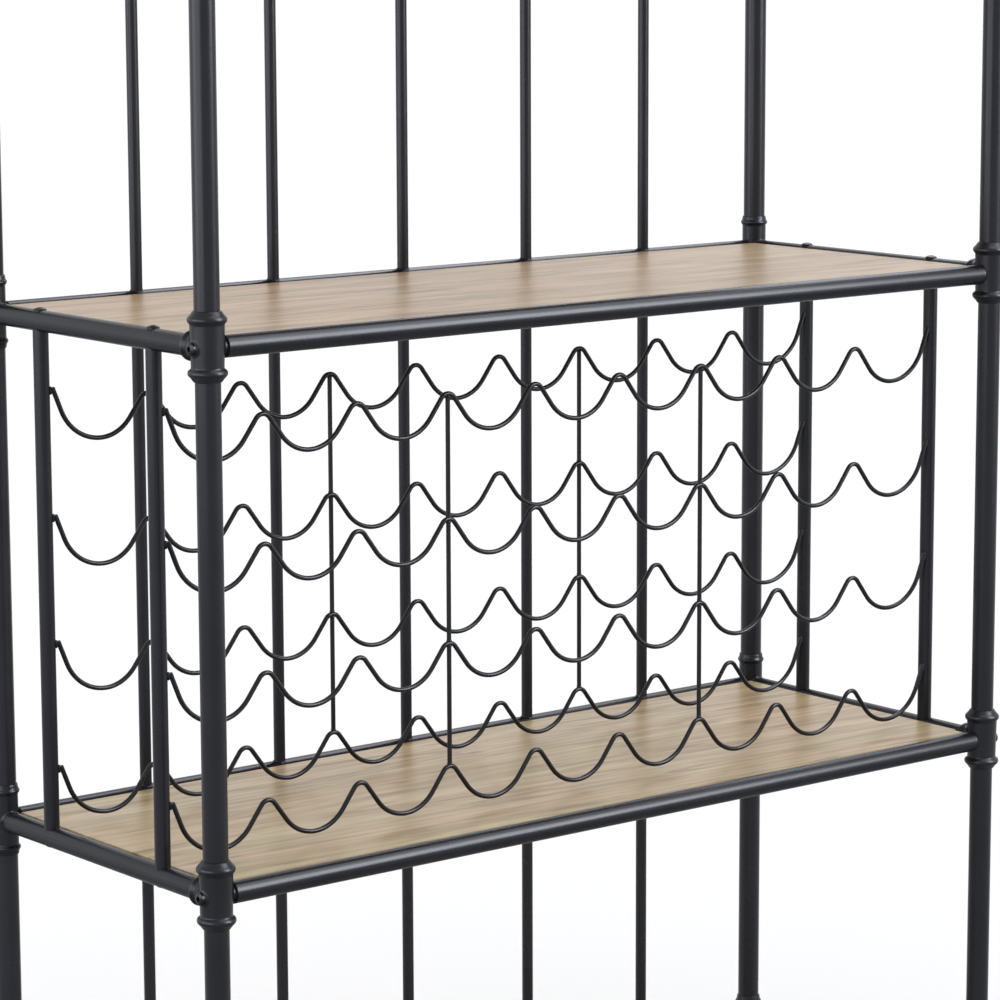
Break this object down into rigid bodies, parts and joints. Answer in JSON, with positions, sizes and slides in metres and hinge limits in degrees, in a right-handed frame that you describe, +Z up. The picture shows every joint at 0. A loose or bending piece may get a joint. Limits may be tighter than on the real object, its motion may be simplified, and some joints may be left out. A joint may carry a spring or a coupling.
{
  "type": "wine rack shelving unit",
  "caption": "Tall open shelving unit with round posts, tee fittings, wood boards, and a bay of wavy wires that cradle wine bottles on their sides.",
  "frame": {"origin": "on the floor at the middle of the footprint", "axes": "+Z up, the open front faces -Y, +X to the right as seen from the front"},
  "size_m": [1.0976, 0.4267, 2.02],
  "materials": {
    "coated_steel_tube": "dark grey satin powder coat on steel tube",
    "coated_casting": "dark grey satin powder coat on cast fittings",
    "coated_steel_wire": "dark grey satin powder coat on bent wire",
    "coated_bolt": "dark coated bolt heads",
    "zinc_plated_steel": "zinc plated screws and plugs",
    "oak_board": "light sandy oak veneer, grain along the width, matte",
    "black_plastic": "moulded black plastic glides"
  },
  "bodies": {
    "root": {"post_front_left": "coated_steel_tube", "post_front_right": "coated_steel_tube", "post_back_left": "coated_steel_tube", "post_back_right": "coated_steel_tube", "front_left_tees": "coated_casting", "front_right_tees": "coated_casting", "back_left_sleeves": "coated_casting", "back_right_sleeves": "coated_casting", "front_rail_1": "coated_steel_tube", "front_rail_2": "coated_steel_tube", "front_rail_3": "coated_steel_tube", "front_rail_4": "coated_steel_tube", "front_rail_5": "coated_steel_tube", "back_rail_1": "coated_steel_tube", "back_rail_2": "coated_steel_tube", "back_rail_3": "coated_steel_tube", "back_rail_4": "coated_steel_tube", "back_rail_5": "coated_steel_tube", "left_rail_1": "coated_steel_tube", "left_rail_2": "coated_steel_tube", "left_rail_3": "coated_steel_tube", "left_rail_4": "coated_steel_tube", "left_rail_5": "coated_steel_tube", "right_rail_1": "coated_steel_tube", "right_rail_2": "coated_steel_tube", "right_rail_3": "coated_steel_tube", "right_rail_4": "coated_steel_tube", "right_rail_5": "coated_steel_tube", "shelf_board_1": "oak_board", "shelf_board_2": "oak_board", "shelf_board_3": "oak_board", "shelf_board_4": "oak_board", "shelf_board_5": "oak_board", "back_bars_1": "coated_steel_tube", "back_bars_2": "coated_steel_tube", "back_bars_3": "coated_steel_tube", "back_bars_4": "coated_steel_tube", "upright_front_left": "coated_steel_tube", "upright_front_right": "coated_steel_tube", "upright_back_left": "coated_steel_tube", "upright_back_right": "coated_steel_tube", "front_wave_1": "coated_steel_wire", "front_wave_2": "coated_steel_wire", "front_wave_3": "coated_steel_wire", "front_wave_4": "coated_steel_wire", "back_wave_1": "coated_steel_wire", "back_wave_2": "coated_steel_wire", "back_wave_3": "coated_steel_wire", "back_wave_4": "coated_steel_wire", "front_tie_rods": "coated_steel_wire", "back_tie_rods": "coated_steel_wire", "rail_bolts": "coated_bolt", "upright_bolts": "coated_bolt", "board_screws": "zinc_plated_steel", "rail_end_plugs": "zinc_plated_steel", "upright_end_plugs": "zinc_plated_steel", "post_caps": "coated_casting", "foot_glides": "black_plastic"}
  },
  "joints": []
}
